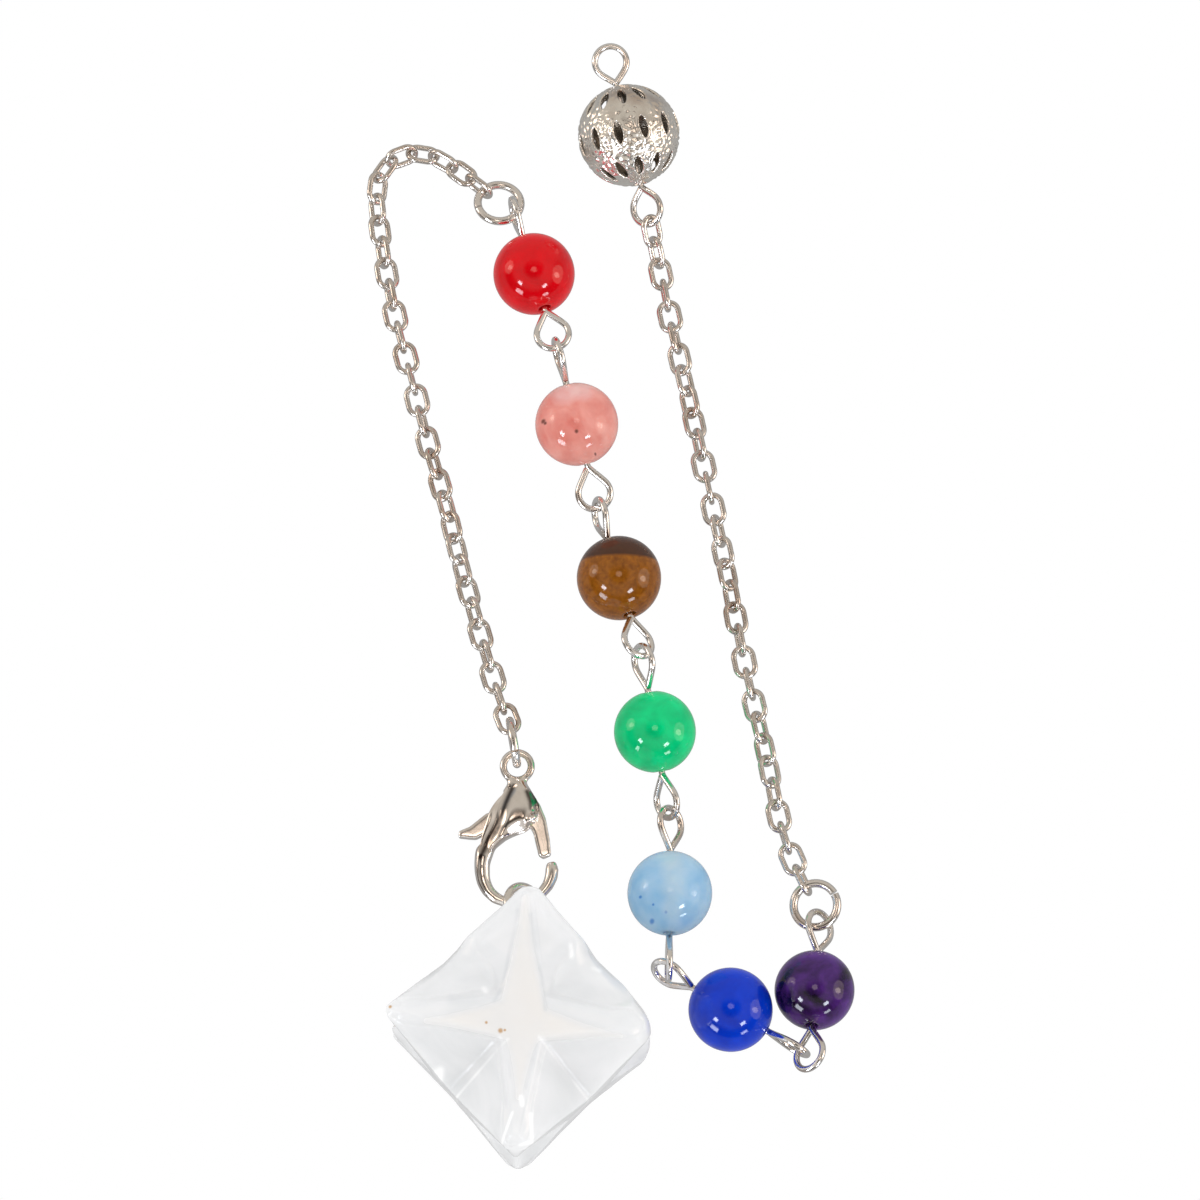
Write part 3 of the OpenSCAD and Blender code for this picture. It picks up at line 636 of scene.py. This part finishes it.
def bead(colour, finish):
    """A drilled ball along its own pin, with a softly broken edge at each mouth of the bore."""
    low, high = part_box("bead_" + colour)
    middle = (low + high) / 2
    radius = (high.z - low.z) / 2
    wire = [v.co - middle for v in nodes["pin_" + colour].data.vertices]
    core = [p for p in wire if p.length < CORE_SHARE * radius]
    far = max(core, key=lambda p: p.length)
    axis = sum((p for p in core if p.dot(far) > 0), Vector()).normalized()
    mouth = math.asin(BORE / radius)
    rim = radius * math.cos(mouth)
    start = ARC_FROM * mouth
    turns = [start + (math.pi - 2 * start) * k / ARC_STEPS for k in range(ARC_STEPS + 1)]
    outline = [(BORE + out * MM, rim - down * MM) for out, down in MOUTH_EDGE]
    outline += [(radius * math.sin(turn), radius * math.cos(turn)) for turn in turns]
    outline += [(x, -z) for x, z in outline[1::-1]]
    bm = bmesh.new()
    verts = [bm.verts.new((x, 0, z)) for x, z in outline]
    edges = [bm.edges.new((verts[k - 1], verts[k])) for k in range(len(verts))]
    bmesh.ops.spin(
        bm, geom=verts + edges, cent=(0, 0, 0), axis=(0, 0, 1), angle=2 * math.pi,
        steps=ROUND_STEPS, use_merge=True)
    bmesh.ops.recalc_face_normals(bm, faces=bm.faces)
    for vert in bm.verts:
        vert.co *= 1 - OUT_OF_ROUND * (1 + noise.noise(vert.co * BEAD_WAVES + middle * BEAD_CHANCE))
    for face in bm.faces:
        face.smooth = True
    lean = Vector((0, 0, 1)).rotation_difference(axis).to_matrix().to_4x4()
    bmesh.ops.transform(bm, verts=bm.verts, matrix=Matrix.Translation(middle) @ lean)
    piece("stone_" + colour, bm, finish, "bead_" + colour)


def stone(colour, kind, dark, light, size, contrast, glow=0.35, clear=0.0, depth=1.2):
    """Polished stone, IOR about 1.54: colour in clouds of a size in mm, light carried inside."""
    low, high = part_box("bead_" + colour)
    made, tree, shader, coords = start_finish(kind)
    own = add(tree, "Mapping", {"Vector": coords, "Location": -(low + high) / 2})
    cloud = add(tree, "TexNoise", {
        "Vector": own, "Scale": 1 / (size * MM), "Detail": 5, "Roughness": 0.55, "Distortion": 0.4})
    share = add(tree, "MapRange", {
        "Value": cloud, "From Min": 0.5 - contrast, "From Max": 0.5 + contrast})
    tone = add(tree, "Mix", {"Factor": share, "A": linear(dark), "B": linear(light)}, data_type="RGBA")
    tree.links.new(tone, shader.inputs["Base Color"])
    shader.inputs["Roughness"].default_value = 0.08
    shader.inputs["IOR"].default_value = 1.54
    shader.inputs["Specular IOR Level"].default_value = 0.35
    shader.inputs["Subsurface Weight"].default_value = glow
    shader.inputs["Subsurface Scale"].default_value = depth * MM
    shader.inputs["Subsurface Radius"].default_value = (1, 0.7, 0.6)
    shader.inputs["Transmission Weight"].default_value = clear
    return made, tree, shader, own, tone


# Dyed agate, aventurine and jade are even and deep. Cherry quartz and chalcedony let light
# through and glow, and amethyst is nearly black where it is thick. The fibres of tiger's eye are
# finer than the eye can see, and are drawn as grains of 0.6 mm to show at all.
red = stone("red", "dyed_agate_red", "#A80008", "#DC0212", 4.167, 0.3)
pink = stone("pink", "cherry_quartz", "#DA7E72", "#F4B4A8", 3.333, 0.22, 0.6, 0.25, 2.0)
brown = stone("brown", "tiger_eye", "#6A3A08", "#8E5412", 0.625, 0.2)
green = stone("green", "dyed_aventurine", "#00945A", "#00D686", 3.333, 0.3, 0.4)
sky = stone("sky", "sky_chalcedony", "#80B8E0", "#BCDAEE", 3.846, 0.25, 0.6, 0.30, 2.0)
blue = stone("blue", "dyed_jade_blue", "#001E90", "#003ECC", 4.167, 0.3)
purple = stone("purple", "amethyst", "#0C0418", "#54287C", 3.846, 0.13, 0.25, 0.15)

# Tiger's eye: one chocolate layer across the top, over golden fibres
BAND_FROM = 1.5 * MM
BAND_SOFT = 0.15 * MM
made, tree, shader, own, tone = brown
up = add(tree, "SeparateXYZ", {0: own}).node
layer = add(tree, "MapRange", {
    "Value": up.outputs["Y"], "From Min": BAND_FROM - BAND_SOFT, "From Max": BAND_FROM + BAND_SOFT})
banded = add(tree, "Mix", {"Factor": layer, "A": tone, "B": linear("#422617")}, data_type="RGBA")
tree.links.new(banded, shader.inputs["Base Color"])

# Inclusions near the surface of the two clear stones, dark in the pink one and specks of dye in
# the pale blue one, with pale clouds round their bores
PALE = 0.3
CLEAR_STONES = [
    (pink, [(-3.2, -0.3, 0.28), (-3.0, -0.55, 0.2), (0.0, -1.6, 0.24), (1.8, -3.3, 0.14)], "#4A2A22",
     [(-1.1, 2.3, 1.6), (0.5, 2.6, 1.5)], "#F4E8EA"),
    (sky, [(-1.7, -3.0, 0.3), (-1.6, -1.6, 0.16), (-0.4, -2.3, 0.18), (-2.8, -0.8, 0.2)], "#2478C8",
     [(0.1, 2.9, 1.5), (0.3, 1.5, 1.6), (0.3, -0.2, 1.6), (0.1, -2.0, 1.3)], "#DCE6E4")]
for finish, spots, dark, clouds, pale in CLEAR_STONES:
    made, tree, shader, own, tone = finish
    dotted = specks(tree, own, tone, spots, dark)
    clouded = specks(tree, own, dotted, clouds, pale, PALE)
    tree.links.new(clouded, shader.inputs["Base Color"])

for colour, finish in zip(COLOURS, (red, pink, brown, green, sky, blue, purple)):
    bead(colour, finish[0])


# Ball
# Two cups of stamped filigree brass, soldered at the middle and plated: petal slots between
# raised wires, with fine grains along them.
ball_low, ball_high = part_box("ball")
ball_middle = (ball_low + ball_high) / 2
ball_radius = (ball_high.z - ball_low.z) / 2
BALL_GRIT = 0.13 * MM
# The inside of the sheet and of the ball is painted in shade: how far below the surface the painted shade
# sets in, and where it is full
SHADE_SETS_IN = 0.25 * MM
SHADE_FULL_AT = 0.45 * MM
plated_ball = nickel("nickel_plated_filigree", "#F0EBE3", 0.26, 0.10)
tree = plated_ball.node_tree
coords = tree.nodes.new("ShaderNodeTexCoord").outputs["Object"]
# Painted shade darkens the inside of the ball and the walls of its slots
deep = add(tree, "VectorMath", {0: coords, 1: ball_middle}, operation="DISTANCE")
shaded_inside = add(tree, "MapRange", {
    "Value": deep, "From Min": ball_radius - SHADE_SETS_IN, "From Max": ball_radius - SHADE_FULL_AT})
darkened(plated_ball, shaded_inside, "#7A6C5A")

# The slots' edges are the points within the sheet, and the stamped relief lies on its outside
EDGE_FROM = 0.2 * MM
EDGE_TO = 0.4 * MM
OUTSIDE = 0.12 * MM
ball = piece("filigree_ball", copy_of("ball"), plated_ball, "ball")
bm = worn_down(ball, BALL_GRIT, rounds=1)
edges_of_slots = [v.co.copy() for v in bm.verts
                  if EDGE_FROM < ball_radius - (v.co - ball_middle).length < EDGE_TO]
rims = kdtree.KDTree(len(edges_of_slots))
for number, spot in enumerate(edges_of_slots):
    rims.insert(spot, number)
rims.balance()
# Scrolls of about 0.75 mm, given as cells to the metre, and a raised wire round each slot
SCROLLS = 1350
SCROLL_DEPTH = 0.14 * MM
SCROLL_SHARP = 2.2
SCROLL_RISE = 0.85
WIRE_AWAY = 0.22 * MM
WIRE_HALF = 0.15 * MM
# The relief is deepest in a belt just below the middle
BELT_BELOW = 1.4 * MM
BELT_WIDTH = 0.75
LEAST_RELIEF = 0.4
for vert in bm.verts:
    out = vert.co - ball_middle
    if ball_radius - out.length < OUTSIDE:
        cells = noise.voronoi(vert.co * SCROLLS)[0]
        ridge = min(1, (cells[1] - cells[0]) * SCROLL_SHARP)
        rim = fade(rims.find(vert.co)[2] - WIRE_AWAY, WIRE_HALF)
        belt = fade((out.y + BELT_BELOW) / ball_radius, BELT_WIDTH)
        sink = (1 - max(rim, SCROLL_RISE * ridge)) * SCROLL_DEPTH * (LEAST_RELIEF + belt)
        vert.co -= out.normalized() * sink
bm.normal_update()
bm.to_mesh(ball.data)
bm.free()
